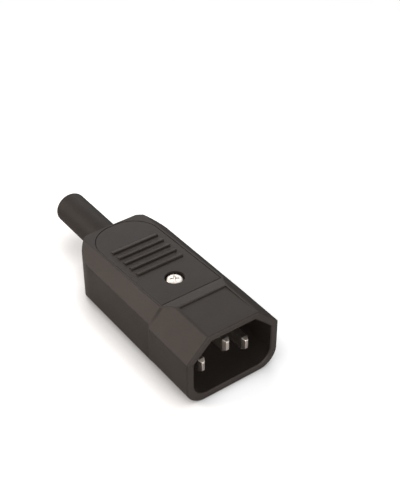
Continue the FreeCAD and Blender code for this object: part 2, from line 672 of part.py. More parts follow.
def contact_block():
    """Insulating insert: a base with two channels, a pedestal for the earth pin and the screw's column."""
    block = body("contact_block")
    rear = "(%s + Sizes.tab_length / 2 + Sizes.block_margin)" % TERMINAL_PLACE
    base = sketch(block, "block_base", "XY_Plane", FLOOR)
    rectangle(base, "-" + BLOCK_HALF, BLOCK_HALF, BLOCK_FRONT, rear)
    pad(block, base, "%s - %s" % (PIN_BASE, FLOOR))

    # Outer sides, rails beside the blades and the barrier between the two terminals
    outer_face = "(%s + Sizes.slot_gap)" % PIN_SIDE
    inner_face = "(%s - Sizes.pin_thickness - Sizes.slot_gap)" % PIN_SIDE
    rail_rear = "(%s - Sizes.tab_length / 2 - Sizes.rail_margin)" % TERMINAL_PLACE
    sides = sketch(block, "block_sides", "XY_Plane", PIN_BASE)
    rails = sketch(block, "block_rails", "XY_Plane", PIN_BASE)
    for side, name in (("", "right"), ("-", "left")):
        rectangle(sides, side + outer_face, side + BLOCK_HALF, BLOCK_FRONT, rear, name)
        rectangle(rails, side + inner_face, side + "(%s - Sizes.rail_thickness)" % inner_face,
                  BLOCK_FRONT, rail_rear, name)
    pad(block, sides, "Sizes.block_side_height")
    pad(block, rails, "Sizes.pin_height")
    barrier = sketch(block, "barrier", "XY_Plane", PIN_BASE)
    rectangle(barrier, "-(Sizes.barrier_thickness / 2)", "Sizes.barrier_thickness / 2",
              SCREW_PLACE, rear)
    pad(block, barrier, "Sizes.barrier_height")

    # Pedestal under the earth terminal and column round the screw, up to the lid's boss
    pedestal = sketch(block, "earth_pedestal", "XY_Plane", PIN_BASE)
    rectangle(pedestal, "-(Sizes.earth_tab_width / 2)", "Sizes.earth_tab_width / 2",
              BLOCK_FRONT, SCREW_PLACE)
    pad(block, pedestal, "Sizes.earth_rise")
    column = sketch(block, "screw_column", "XY_Plane", PIN_BASE)
    circle(column, "0", SCREW_PLACE, SCREW_HOLE + " + Sizes.column_wall")
    pad(block, column, "%s - Sizes.column_gap - %s" % (BOSS_BOTTOM, PIN_BASE))

    # Underside clear of the shell's nut boss, so that the block slides in from the rear
    tunnel = sketch(block, "boss_tunnel", "XY_Plane", FLOOR)
    tunnel_half = "(%s + Sizes.tunnel_gap)" % NUT_BOSS_RADIUS
    rectangle(tunnel, "-" + tunnel_half, tunnel_half, BLOCK_FRONT, "%s + %s" % (SCREW_PLACE, tunnel_half))
    cut(block, tunnel, "%s + Sizes.nut_roof - %s + Sizes.tunnel_gap" % (NUT_TOP, FLOOR), reverse=True)
    way = sketch(block, "screw_way_in_block", "XY_Plane", FLOOR)
    circle(way, "0", SCREW_PLACE, SCREW_HOLE)
    cut(block, way, reverse=True)

    # Room for the ends of the terminal screws
    relief_depth = (
        "(Sizes.terminal_screw_length - Sizes.washer_thickness - Sizes.pin_thickness"
        " + Sizes.terminal_end_gap)")
    relief_radius = "(Sizes.terminal_screw_diameter / 2 + Sizes.terminal_relief)"
    low_relief = sketch(block, "terminal_relief", "XY_Plane", PIN_BASE)
    for side, name in (("", "right"), ("-", "left")):
        circle(low_relief, side + TERMINAL_X, TERMINAL_PLACE, relief_radius, name)
    cut(block, low_relief, relief_depth)
    high_relief = sketch(block, "earth_relief", "XY_Plane", PIN_BASE + " + Sizes.earth_rise")
    circle(high_relief, "0", EARTH_TERMINAL_PLACE, relief_radius)
    cut(block, high_relief, relief_depth)


def pin(label, x, rise, tip, screw_at, tab_low, tab_high, tab_length):
    """A blade with a bevelled tip, its tail halved and folded flat into a tab with a tapped hole."""
    blade = body(label, x, "%s + %s" % (PIN_BASE, rise))
    tab_front = "(%s - %s / 2)" % (screw_at, tab_length)
    tab_rear = "(%s + %s / 2)" % (screw_at, tab_length)
    side_view = sketch(blade, label + "_profile", "YZ_Plane")
    outline(side_view, [
        (tip, "Sizes.tip_chamfer"),
        (tip + " + Sizes.tip_taper", "0"),
        (tab_rear, "0"),
        (tab_rear, "Sizes.pin_thickness"),
        (tab_front, "Sizes.pin_thickness"),
        (tab_front, "Sizes.pin_height"),
        (tip + " + Sizes.tip_taper", "Sizes.pin_height"),
        (tip, "Sizes.pin_height - Sizes.tip_chamfer")])
    pad(blade, side_view, "Sizes.pin_thickness", both=True)
    flanks = sketch(blade, label + "_flanks", "XY_Plane")
    half = "(Sizes.pin_thickness / 2)"
    for side, name in (("", "right"), ("-", "left")):
        outline(flanks, [
            (side + "(%s - Sizes.tip_chamfer)" % half, tip),
            (side + half, tip + " + Sizes.tip_taper"),
            (side + "(%s + Sizes.tip_chamfer)" % half, tip + " + Sizes.tip_taper"),
            (side + "(%s + Sizes.tip_chamfer)" % half, tip)], name)
    cut(blade, flanks, reverse=True)
    tab = sketch(blade, label + "_tab", "XY_Plane")
    rectangle(tab, tab_low, tab_high, tab_front, tab_rear)
    pad(blade, tab, "Sizes.pin_thickness")
    tapping = sketch(blade, label + "_tapping", "XY_Plane")
    circle(tapping, "(%s + %s) / 2" % (tab_low, tab_high), screw_at,
           "Sizes.terminal_screw_diameter / 2 + Sizes.thread_gap")
    cut(blade, tapping, reverse=True)


def screw(label, x, y, seat, shank_diameter, length, head_diameter, head_height):
    """A pan-head screw standing on its head's underside, with a cross recess in the head."""
    new = body(label, x, seat)
    head_radius = "(%s / 2)" % head_diameter
    head_profile = sketch(new, label + "_head_circle", "XY_Plane")
    circle(head_profile, "0", y, head_radius)
    pad(new, head_profile, head_height)
    rim = value(head_height) - 1e-6
    soften(new, "Chamfer", label + "_edge", "Size", "Sizes.head_chamfer", lambda point: point.z > rim)
    shank = sketch(new, label + "_shank", "XY_Plane")
    circle(shank, "0", y, "%s / 2" % shank_diameter)
    pad(new, shank, length, reverse=True)
    cross = sketch(new, label + "_cross", "XY_Plane", head_height)
    reach = "(Sizes.cross_span * %s)" % head_radius
    half = "(Sizes.cross_slot * %s)" % head_radius
    quarter = [(reach, half), (half, half), (half, reach)]
    corners = [(u, "(%s) + %s" % (y, v)) for u, v in quarter]
    corners += [("-" + u, "(%s) + %s" % (y, v)) for u, v in reversed(quarter)]
    corners += [("-" + u, "(%s) - %s" % (y, v)) for u, v in quarter]
    corners += [(u, "(%s) - %s" % (y, v)) for u, v in reversed(quarter)]
    outline(cross, corners)
    cut(new, cross, "Sizes.cross_depth * " + head_height)


def washer(label, x, y, level):
    """A square washer that presses a wire onto its terminal's tab."""
    new = body(label, x, level)
    face = sketch(new, label + "_face", "XY_Plane")
    half = "(Sizes.washer_width / 2)"
    rectangle(face, "-" + half, half, "%s - %s" % (y, half), "%s + %s" % (y, half))
    circle(face, "0", y, "Sizes.terminal_screw_diameter / 2 + Sizes.screw_clearance")
    pad(new, face, "Sizes.washer_thickness")


def assembly_nut():
    """Hexagonal nut, a little below the shell's underside."""
    nut = body("assembly_nut", z="Sizes.housing_lift + Sizes.nut_sink")
    face = sketch(nut, "nut_face", "XY_Plane")
    hexagon(face, "Sizes.nut_across / 2")
    circle(face, "0", SCREW_PLACE, "Sizes.screw_diameter / 2 + Sizes.thread_gap")
    pad(nut, face, "Sizes.nut_thickness")


def cord_clamp():
    """A moulded bar, arched over the cord, that the two clamp screws pull down onto the pillars."""
    clamp = body("cord_clamp")
    arch = sketch(clamp, "clamp_arch", "XZ_Plane", CLAMP_FRONT)
    half_width = "(%s - Sizes.clamp_end_gap)" % WELL_HALF
    circle(arch, "0", CORD_HEIGHT, CORD_SLOT + " + Sizes.clamp_arch_wall")
    pad(clamp, arch, "Sizes.clamp_length", reverse=True)
    below = sketch(clamp, "below_arch", "XZ_Plane", CLAMP_FRONT)
    rectangle(below, "-" + half_width, half_width, "0", PILLAR_TOP)
    cut(clamp, below, "Sizes.clamp_length")
    bar = sketch(clamp, "clamp_bar", "XZ_Plane", CLAMP_FRONT)
    rectangle(bar, "-" + half_width, half_width, PILLAR_TOP, PILLAR_TOP + " + Sizes.clamp_thickness")
    pad(clamp, bar, "Sizes.clamp_length", reverse=True)
    saddle = sketch(clamp, "clamp_saddle", "XZ_Plane", CLAMP_FRONT)
    circle(saddle, "0", CORD_HEIGHT, CORD_SLOT)
    cut(clamp, saddle, "Sizes.clamp_length")
    holes = sketch(clamp, "clamp_holes", "XY_Plane", PILLAR_TOP)
    for side, name in (("", "right"), ("-", "left")):
        circle(holes, side + CLAMP_SCREW_X, CLAMP_PLACE, SCREW_HOLE, name)
    cut(clamp, holes, reverse=True)


def cable_boot():
    """The soft sleeve: a tube with a chamfered end, its collar held in the shell's groove."""
    boot = body("cable_boot", z=CORD_HEIGHT)
    collar_front = "(%s + Sizes.collar_gap)" % GROOVE_FRONT
    collar_rear = "(%s + Sizes.collar_thickness)" % collar_front
    end = "(%s + Sizes.sleeve_length)" % HOUSING_LENGTH
    section = sketch(boot, "boot_section", "YZ_Plane")
    outline(section, [
        (collar_front, "Sizes.cord_bore / 2"),
        (end, "Sizes.cord_bore / 2"),
        (end, "Sizes.sleeve_diameter / 2 - Sizes.sleeve_end_chamfer"),
        (end + " - Sizes.sleeve_end_chamfer", "Sizes.sleeve_diameter / 2"),
        (collar_rear, "Sizes.sleeve_diameter / 2"),
        (collar_rear, COLLAR_RADIUS),
        (collar_front, COLLAR_RADIUS)])
    turn = feature(boot, "Revolution", "boot_turn", section)
    turn.ReferenceAxis = (section, ["H_Axis"])
    turn.Angle = 360
    doc.recompute()


body_shell()
top_cover()
contact_block()

SIDE_SPACING = "(Sizes.pin_spacing / 2)"
TAB_NEAR = "(Sizes.pin_thickness / 2)"
TAB_FAR = "(Sizes.tab_width - Sizes.pin_thickness / 2)"
EARTH_TIP = "(Sizes.pin_setback - Sizes.earth_lead)"
pin("line_pin", "-" + SIDE_SPACING, "0", "Sizes.pin_setback", TERMINAL_PLACE,
    "-" + TAB_NEAR, TAB_FAR, "Sizes.tab_length")
pin("neutral_pin", SIDE_SPACING, "0", "Sizes.pin_setback", TERMINAL_PLACE,
    "-" + TAB_FAR, TAB_NEAR, "Sizes.tab_length")
pin("earth_pin", "0", "Sizes.earth_rise", EARTH_TIP, EARTH_TERMINAL_PLACE,
    "-(Sizes.earth_tab_width / 2)", "(Sizes.earth_tab_width / 2)", "Sizes.earth_tab_length")
for terminal, terminal_x, terminal_y, tab_top in (
        ("line", "-" + TERMINAL_X, TERMINAL_PLACE, TAB_TOP),
        ("neutral", TERMINAL_X, TERMINAL_PLACE, TAB_TOP),
        ("earth", "0", EARTH_TERMINAL_PLACE, EARTH_TAB_TOP)):
    washer(terminal + "_wire_washer", terminal_x, terminal_y, tab_top)
    screw(terminal + "_terminal_screw", terminal_x, terminal_y, tab_top + " + Sizes.washer_thickness",
          "Sizes.terminal_screw_diameter", "Sizes.terminal_screw_length",
          "Sizes.terminal_head_diameter", "Sizes.terminal_head_height")

screw("assembly_screw", "0", SCREW_PLACE, HEAD_SEAT, "Sizes.screw_diameter",
      "%s - Sizes.housing_lift - Sizes.nut_sink" % HEAD_SEAT, "Sizes.head_diameter", "Sizes.head_height")
assembly_nut()
cord_clamp()
for clamp_side, clamp_sign in (("left", "-"), ("right", "")):
    screw("clamp_screw_" + clamp_side, clamp_sign + CLAMP_SCREW_X, CLAMP_PLACE,
          PILLAR_TOP + " + Sizes.clamp_thickness", "Sizes.screw_diameter", "Sizes.clamp_screw_length",
          "Sizes.clamp_head_diameter", "Sizes.clamp_head_height")
cable_boot()

doc.recompute()
for item in doc.Objects:
    if "Invalid" in item.State or "Error" in item.State:
        raise ValueError(item.Name + " failed: " + str(item.State))
    if item.TypeId == "Sketcher::SketchObject" and not item.FullyConstrained:
        raise ValueError(item.Name + " isn't fully constrained")
bodies = [item for item in doc.Objects if item.TypeId == "PartDesign::Body"]
for piece in bodies:
    if piece.Shape.isNull() or not piece.Shape.isValid() or len(piece.Shape.Solids) != 1:
        raise ValueError(piece.Label + " isn't one valid solid")

os.makedirs("parts", exist_ok=True)
for piece in bodies:
    piece.Shape.exportStep("parts/%s.step" % piece.Label)
    print("%-24s %9.1f mm3" % (piece.Label, piece.Shape.Volume))
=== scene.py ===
import json
import math

import bmesh
import bpy
import numpy as np
from mathutils import Matrix, Vector


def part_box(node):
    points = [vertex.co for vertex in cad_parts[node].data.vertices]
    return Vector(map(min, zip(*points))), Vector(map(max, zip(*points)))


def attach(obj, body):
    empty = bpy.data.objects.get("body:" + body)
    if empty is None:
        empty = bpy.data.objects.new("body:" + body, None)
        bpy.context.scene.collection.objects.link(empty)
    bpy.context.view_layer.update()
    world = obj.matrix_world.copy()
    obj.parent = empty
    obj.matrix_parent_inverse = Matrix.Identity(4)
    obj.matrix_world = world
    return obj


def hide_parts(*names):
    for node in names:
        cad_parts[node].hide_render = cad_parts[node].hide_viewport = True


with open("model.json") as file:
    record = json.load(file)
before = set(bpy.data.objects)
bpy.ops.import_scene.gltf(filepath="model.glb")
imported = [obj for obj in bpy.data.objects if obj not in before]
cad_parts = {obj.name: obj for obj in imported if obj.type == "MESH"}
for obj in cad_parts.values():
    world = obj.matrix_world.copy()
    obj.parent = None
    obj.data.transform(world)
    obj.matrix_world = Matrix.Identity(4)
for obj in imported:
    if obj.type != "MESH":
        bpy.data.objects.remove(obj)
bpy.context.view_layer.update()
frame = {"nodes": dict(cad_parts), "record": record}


# The table: a wide sheet of white satin acrylic, lying flat under the plug.
# The plug rests on the underside of its shroud, so the sheet's face is at height 0.

def linear(colour):
    """An sRGB hex colour as linear red, green, blue and alpha: each channel over 255, then
    over 12.92 below 0.04045, else ((channel + 0.055) / 1.055) to the power 2.4."""
    channels = np.array([int(colour[place:place + 2], 16) for place in (1, 3, 5)]) / 255
    curved = np.where(channels <= 0.04045, channels / 12.92, ((channels + 0.055) / 1.055) ** 2.4)
    return (*curved.tolist(), 1.0)


def add(tree, kind, inputs=(), **settings):
    """Adds a node of this kind, sets its settings, and fills or links its inputs."""
    node = tree.nodes.new(kind)
    for name, setting in settings.items():
        setattr(node, name, setting)
    for name, source in dict(inputs).items():
        if isinstance(source, bpy.types.NodeSocket):
            tree.links.new(source, node.inputs[name])
        else:
            node.inputs[name].default_value = source
    return node


def new_material(name):
    """An empty node material and the tree that its nodes go into."""
    material = bpy.data.materials.new(name)
    material.use_nodes = True
    material.node_tree.nodes.clear()
    return material, material.node_tree


def mesh_object(name, points, faces):
    """A smooth mesh object at the origin from rows of x, y, z points and of corner numbers."""
    mesh = bpy.data.meshes.new(name)
    mesh.from_pydata(np.asarray(points, float).tolist(), [], [list(face) for face in faces])
    mesh.update()
    mesh.polygons.foreach_set("use_smooth", np.full(len(mesh.polygons), True))
    piece = bpy.data.objects.new(name, mesh)
    bpy.context.scene.collection.objects.link(piece)
    return piece


def shown_plainly(tree):
    """1 where the table or the room is seen by the camera, in metal or through glass, else 0:
    the sum of the three ray tests, held to 1."""
    path = add(tree, "ShaderNodeLightPath")
    shown = path.outputs["Is Camera Ray"]
    for ray in ("Is Glossy Ray", "Is Transmission Ray"):
        shown = add(tree, "ShaderNodeMath", {0: shown, 1: path.outputs[ray]},
                    operation="ADD", use_clamp=True).outputs[0]
    return shown


# white acrylic, sand-satin: an even pale ground that takes the lamps' soft shadow, deepened close
# round the plug by a painted shadow from an ambient-occlusion test, and runs out into plain white;
# to the plug it is a plain grey that throws back half the light
painted_shadow_reach, shine_through = 0.010, 0.68
white_from, white_to = 0.10, 0.22
acrylic, tree = new_material("white_satin_acrylic_sheet")
# painted shadow: an ambient-occlusion test within 10 mm darkens the sheet's colour close round the
# plug
painted_contact_shadow = add(tree, "ShaderNodeAmbientOcclusion", {
    "Color": linear("#f3f5f7"), "Distance": painted_shadow_reach}, samples=16)
surface = add(tree, "ShaderNodeBsdfDiffuse", {"Color": painted_contact_shadow.outputs["Color"]})
path = add(tree, "ShaderNodeLightPath")
# the camera's white glow is darkened by the same painted shadow
camera_painted_shadow = add(tree, "ShaderNodeMath", {
    0: painted_contact_shadow.outputs["AO"], 1: path.outputs["Is Camera Ray"]}, operation="MULTIPLY")
glow_with_painted_shadow = add(tree, "ShaderNodeMath", {
    0: camera_painted_shadow.outputs[0], 1: shine_through}, operation="MULTIPLY")
glow = add(tree, "ShaderNodeEmission", {
    "Color": linear("#ffffff"), "Strength": glow_with_painted_shadow.outputs[0]})
lifted = add(tree, "ShaderNodeAddShader", {0: surface.outputs[0], 1: glow.outputs[0]})
white = add(tree, "ShaderNodeEmission", {"Color": linear("#ffffff"), "Strength": 1.0})
place = add(tree, "ShaderNodeTexCoord")
away = add(tree, "ShaderNodeVectorMath", {0: place.outputs["Object"]}, operation="LENGTH")
beyond = add(tree, "ShaderNodeMapRange", {
    "Value": away.outputs["Value"], "From Min": white_from, "From Max": white_to},
    interpolation_type="SMOOTHSTEP")
ground = add(tree, "ShaderNodeMixShader", {
    0: beyond.outputs[0], 1: lifted.outputs[0], 2: white.outputs[0]})
matte = add(tree, "ShaderNodeBsdfDiffuse", {"Color": linear("#bdbdbd")})
seen = add(tree, "ShaderNodeMixShader", {
    0: shown_plainly(tree), 1: matte.outputs[0], 2: ground.outputs[0]})
add(tree, "ShaderNodeOutputMaterial", {"Surface": seen.outputs[0]})

half_sheet = 3.0
sheet_corners = half_sheet * np.array([(-1, -1, 0), (1, -1, 0), (1, 1, 0), (-1, 1, 0)])
table = mesh_object("table", sheet_corners, [(0, 1, 2, 3)])
table.data.materials.append(acrylic)

# matt black card on the table at the plug's right, out of the camera's sight: it keeps the white
# ground out of the right flank's shine, and its near edge leans away from the flank in front
near_edge, far_edge, half_length, thickness = 0.017, 0.4, 0.3, 0.0002
outward, sideways = np.array([0.97, 0.24, 0.0]), np.array([-0.24, 0.97, 0.0])
black_paper, tree = new_material("matt_black_card")
flat_black = add(tree, "ShaderNodeBsdfDiffuse", {"Color": linear("#262626")})
add(tree, "ShaderNodeOutputMaterial", {"Surface": flat_black.outputs[0]})
card_corners = [outward * reach + sideways * side + (0, 0, thickness) for reach, side in (
    (near_edge, -half_length), (far_edge, -half_length),
    (far_edge, half_length), (near_edge, half_length))]
card = mesh_object("black_card", card_corners, [(0, 1, 2, 3)])
card.data.materials.append(black_paper)
card.visible_camera = False
card.visible_shadow = False


# The studio: a white room for a faint fill, three large softboxes at the left, the left rear and
# the right rear, a panel low in front that lights the rim and the pins, and a small low one at the
# rear. No lamp stands straight at the right, so that flank stays dark.

world = bpy.data.worlds.new("white_room")
world.use_nodes = True
world.node_tree.nodes.clear()
tree = world.node_tree
room = add(tree, "ShaderNodeBackground", {"Color": linear("#ffffff"), "Strength": 0.05})
wall = add(tree, "ShaderNodeBackground", {"Color": linear("#ffffff"), "Strength": 1.0})
seen = add(tree, "ShaderNodeMixShader", {
    0: shown_plainly(tree), 1: room.outputs[0], 2: wall.outputs[0]})
add(tree, "ShaderNodeOutputWorld", {"Surface": seen.outputs[0]})
bpy.context.scene.world = world


lamp_distance = 0.9


def softbox(name, direction, width, height, power, colour):
    """A rectangular lamp of so many watts, along a direction from the plug and facing the plug."""
    lamp = bpy.data.lights.new(name, "AREA")
    lamp.shape = "RECTANGLE"
    lamp.size, lamp.size_y = width, height
    lamp.energy = power
    lamp.color = linear(colour)[:3]
    fixture = bpy.data.objects.new(name, lamp)
    toward = Vector(direction).normalized()
    fixture.location = toward * lamp_distance
    fixture.rotation_mode = "QUATERNION"
    fixture.rotation_quaternion = toward.to_track_quat("Z", "Y")
    bpy.context.scene.collection.objects.link(fixture)


softbox("left_softbox", (-0.72, -0.30, 0.62), 0.60, 0.60, 0.9, "#fffaf6")
softbox("left_rear_softbox", (-0.64, 0.60, 0.50), 0.60, 0.60, 7.7, "#fff0e4")
softbox("right_rear_softbox", (0.40, 0.64, 0.65), 0.60, 0.60, 2.1, "#fffdff")
softbox("front_panel", (0.02, -0.95, 0.20), 0.60, 0.36, 9.6, "#fffcfa")
softbox("low_rear_panel", (0.46, 0.88, 0.16), 0.50, 0.24, 0.25, "#ffffff")

# The view: the camera stands in front of the mating face, to its left and above it. Its place,
# its turn and its lens were solved from the edges in the photograph.
yaw, pitch = math.radians(-36.09), math.radians(37.94)
right = Vector((math.cos(yaw), math.sin(yaw), 0))
back = Vector((math.sin(yaw) * math.cos(pitch), -math.cos(yaw) * math.cos(pitch),
               math.sin(pitch)))
up = back.cross(right)
lens = bpy.data.cameras.new("studio_camera")
lens.sensor_fit = "AUTO"
lens.sensor_width = 36.0
lens.lens = 75.6
lens.clip_start, lens.clip_end = 0.01, 20.0
camera = bpy.data.objects.new("studio_camera", lens)
camera_place = (-0.12116, -0.19257, 0.19551)
camera.matrix_world = (Matrix.Translation(camera_place)
                       @ Matrix((right, up, back)).transposed().to_4x4())
bpy.context.scene.collection.objects.link(camera)
bpy.context.scene.camera = camera
bpy.context.scene.view_settings.view_transform = "Standard"


# The body shell and the lid: two mouldings in black glass-filled polyamide, the lid sunk into
# the shell's rim and held by one long screw. A mould leaves every edge slightly round, so each
# edge of the solids is rounded here.

def grain(tree, size, seed):
    """A noise texture whose lumps are about this size in metres, at a place of its own."""
    place = add(tree, "ShaderNodeTexCoord")
    moved = add(tree, "ShaderNodeMapping", {
        "Vector": place.outputs["Object"], "Location": (seed, 0, 0)})
    return add(tree, "ShaderNodeTexNoise", {
        "Vector": moved.outputs[0], "Scale": 1 / (2 * size), "Detail": 2.0, "Roughness": 0.55})


# nearly all of a noise's values lie in this middle range, which is mapped to the wanted one
noise_middle = {"From Min": 0.3, "From Max": 0.7}
flow_mark = 0.004


def moulded(name, dark, pale, gloss, dull, grain_size, grain_depth, seed, specular):
    """A moulded plastic: two close tones in slow flow marks, and the fine even grain that a
    spark-eroded mould leaves, which makes its shine vary between gloss and dull."""
    material, tree = new_material(name)
    flow = add(tree, "ShaderNodeMapRange", {
        "Value": grain(tree, flow_mark, seed).outputs[0], **noise_middle})
    tone = add(tree, "ShaderNodeMix", {
        "Factor": flow.outputs[0], "A": linear(dark), "B": linear(pale)}, data_type="RGBA")
    pits = grain(tree, grain_size, seed + 3.0)
    shine = add(tree, "ShaderNodeMapRange", {
        "Value": pits.outputs[0], **noise_middle, "To Min": gloss, "To Max": dull})
    relief = add(tree, "ShaderNodeBump", {
        "Height": pits.outputs[0], "Distance": grain_depth, "Strength": 1.0})
    skin = add(tree, "ShaderNodeBsdfPrincipled", {
        "Base Color": tone.outputs["Result"], "Roughness": shine.outputs[0],
        "Normal": relief.outputs[0], "IOR": 1.5, "Specular IOR Level": specular})
    add(tree, "ShaderNodeOutputMaterial", {"Surface": skin.outputs[0]})
    return material


frame_slots = {part["node"]: part["material_slot"] for part in frame["record"]["subparts"]}
weld, most_corners, facet_width, upright_slope = 0.000002, 12, 0.0013, 0.1
flat_turn, facet_turn, edge_turn = math.radians(0.6), math.radians(1.2), math.radians(22)


def finished(node, edge, material):
    """A copy of a CAD node with its loose triangles merged, its flats made whole, and every edge
    that turns by more than 22 degrees rounded to the edge radius. A flat with more than 12
    corners is split again, so that it shades evenly round its holes. A gentler edge stays crisp
    where both its faces are wider than a fillet's facets and don't both stand upright. The rest
    blend."""
    mesh = frame["nodes"][node].data.copy()
    mesh.materials.clear()
    mesh.materials.append(material)
    piece = bpy.data.objects.new(node + "_finished", mesh)
    bpy.context.scene.collection.objects.link(piece)
    work = bmesh.new()
    work.from_mesh(mesh)
    bmesh.ops.remove_doubles(work, verts=work.verts, dist=weld)
    bmesh.ops.dissolve_limit(work, angle_limit=flat_turn, verts=work.verts, edges=work.edges)
    many_sided = [face for face in work.faces if len(face.verts) > most_corners]
    bmesh.ops.triangulate(work, faces=many_sided)
    widths = {face: face.calc_area() / max(side.calc_length() for side in face.edges)
              for face in work.faces}
    for face in work.faces:
        face.smooth = True
    for crease in work.edges:
        if len(crease.link_faces) == 2:
            wide = min(widths[face] for face in crease.link_faces) > facet_width
            upright = all(abs(face.normal.z) < upright_slope for face in crease.link_faces)
            gentle = facet_turn < crease.calc_face_angle() < edge_turn
            crease.smooth = not (wide and gentle and not upright)
    work.to_mesh(mesh)
    work.free()
    rounding = piece.modifiers.new("moulded_edges", "BEVEL")
    rounding.width = edge
    rounding.segments = 2
    rounding.limit_method = "ANGLE"
    rounding.angle_limit = edge_turn
    shading = piece.modifiers.new("flats_stay_flat", "WEIGHTED_NORMAL")
    shading.mode = "FACE_AREA"
    shading.weight = 100
    shading.keep_sharp = True
    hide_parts(node)
    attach(piece, "root")
    return piece


def upright_axis(node):
    """Where a node's upright axis stands: the middle of its box in x and y."""
    low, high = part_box(node)
    return np.array([(low.x + high.x) / 2, (low.y + high.y) / 2])


# black polyamide: a warm black with a low, even sheen. Its mould's grain is drawn at 0.1 mm,
# somewhat coarser than a real one, so that it shows.
polyamide = moulded("black_glass_filled_polyamide", "#2a2522", "#2f2a27",
                    gloss=0.46, dull=0.60, grain_size=0.00010, grain_depth=0.00001,
                    seed=1.0, specular=0.18)
finished("body_shell", 0.00025, polyamide)
cover = finished("top_cover", 0.00008, polyamide)

# the wall of the screw's counterbore is drawn in to the photograph's size, which the head fills
# closely: its points move towards the screw's axis by the ratio of the two radii
solid_radius, drawn_radius, wall_spread = 0.003175, 0.00277, 0.00004
axis = upright_axis("assembly_screw")
places = np.empty((len(cover.data.vertices), 3), np.float32)
cover.data.vertices.foreach_get("co", places.ravel())
from_axis = places[:, :2] - axis
on_wall = np.abs(np.hypot(from_axis[:, 0], from_axis[:, 1]) - solid_radius) < wall_spread
places[on_wall, :2] = axis + from_axis[on_wall] * (drawn_radius / solid_radius)
cover.data.vertices.foreach_set("co", places.ravel())
cover.data.update()


# The pins: stamped brass blades with nickel plating, their tips coined to a taper.
# The plating is slightly dull, and a socket has left faint lines along them.

patch_size, line_density, line_depth = 0.0005, 6000.0, 0.0000015


def plated(name, colour, worn, gloss, dull, streak, seed):
    """A plated metal: a bright colour with duller patches of half a millimetre, and fine lines,
    drawn out along Y where the streak is below 1. The lines are a sixth of a millimetre apart,
    coarser than real ones, so that they show."""
    material, tree = new_material(name)
    place = add(tree, "ShaderNodeTexCoord")
    drawn = add(tree, "ShaderNodeMapping", {
        "Vector": place.outputs["Object"], "Scale": (1.0, streak, 1.0), "Location": (seed, 0, 0)})
    lines = add(tree, "ShaderNodeTexNoise", {
        "Vector": drawn.outputs[0], "Scale": line_density, "Detail": 3.0, "Roughness": 0.6})
    patch = grain(tree, patch_size, seed)
    worn_here = add(tree, "ShaderNodeMapRange", {"Value": patch.outputs[0], **noise_middle})
    tone = add(tree, "ShaderNodeMix", {
        "Factor": worn_here.outputs[0], "A": linear(colour), "B": linear(worn)}, data_type="RGBA")
    shine = add(tree, "ShaderNodeMapRange", {
        "Value": patch.outputs[0], **noise_middle, "To Min": gloss, "To Max": dull})
    relief = add(tree, "ShaderNodeBump", {
        "Height": lines.outputs[0], "Distance": line_depth, "Strength": 1.0})
    skin = add(tree, "ShaderNodeBsdfPrincipled", {
        "Base Color": tone.outputs["Result"], "Metallic": 1.0,
        "Roughness": shine.outputs[0], "Normal": relief.outputs[0]})
    add(tree, "ShaderNodeOutputMaterial", {"Surface": skin.outputs[0]})
    return material


# nickel plating: a slightly warm silver, soft in its shine
nickel = plated("nickel_plated_brass", "#dcd2c8", "#c8beb4",
                gloss=0.28, dull=0.40, streak=0.05, seed=2.0)
for name in ("line_pin", "neutral_pin", "earth_pin"):
    finished(name, 0.00010, nickel)


# The assembly screw: an M3 pan-head screw with a cross recess, cold-formed and rolled in steel,
# with a bright zinc plating. It goes down through the lid and the block into the nut.

# bright zinc plating: a pale warm silver that shines almost white under the lamps
zinc = plated("bright_zinc_plated_steel", "#d6cfc7", "#c9c2ba",
              gloss=0.30, dull=0.38, streak=1.0, seed=5.0)


def skinned(name, points, closed):
    """A skin over a grid of points: each row is a ring, joined to the next row, and the last row
    to the first where it is closed. Points at one place become one."""
    rows, around = points.shape[:2]
    row, column = np.meshgrid(np.arange(rows if closed else rows - 1), np.arange(around),
                              indexing="ij")
    below, beside = (row + 1) % rows, (column + 1) % around
    faces = np.stack([row * around + column, below * around + column,
                      below * around + beside, row * around + beside], axis=2).reshape(-1, 4)
    piece = mesh_object(name, points.reshape(-1, 3), faces)
    work = bmesh.new()
    work.from_mesh(piece.data)
    bmesh.ops.remove_doubles(work, verts=work.verts, dist=0.0000001)
    bmesh.ops.recalc_face_normals(work, faces=work.faces)
    work.to_mesh(piece.data)
    work.free()
    return piece


def turned(name, heights, radii, axis, closed=False):
    """Rings wound round an upright axis: x = axis x + radius cos(turn), y = axis y + radius
    sin(turn), z = height. A ring of zero radius closes to a point."""
    turn = np.linspace(0, 2 * math.pi, radii.shape[1], endpoint=False)
    return skinned(name, np.stack([
        axis[0] + radii * np.cos(turn), axis[1] + radii * np.sin(turn), heights], axis=2), closed)


def rings(values, around):
    """One row for each value, the value repeated all the way round."""
    return np.repeat(np.asarray(values, float)[:, None], around, axis=1)


wall_slope, end_slope, end_rise = 0.00012, 0.00045, 0.3


def arm(along, across, length, half_width):
    """How deep one arm of the cross is at a place, from 0 to 1: full between its two walls,
    shallower towards its ends, with walls and ends that slope."""
    walls = np.clip((half_width - np.abs(across)) / wall_slope + 0.5, 0, 1)
    ends = np.clip((length - np.abs(along)) / end_slope, 0, 1)
    return walls * ends * (1 - end_rise * np.abs(along) / length)


low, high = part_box("assembly_screw")
around = 144
turn = np.linspace(0, 2 * math.pi, around, endpoint=False)
head_radius, head_height, head_side, head_chamfer = 0.00246, 0.0020, 0.0013, 0.00015
cross_length, cross_half_width, cross_depth, cross_turn = 0.00155, 0.00027, 0.0007, 0.5

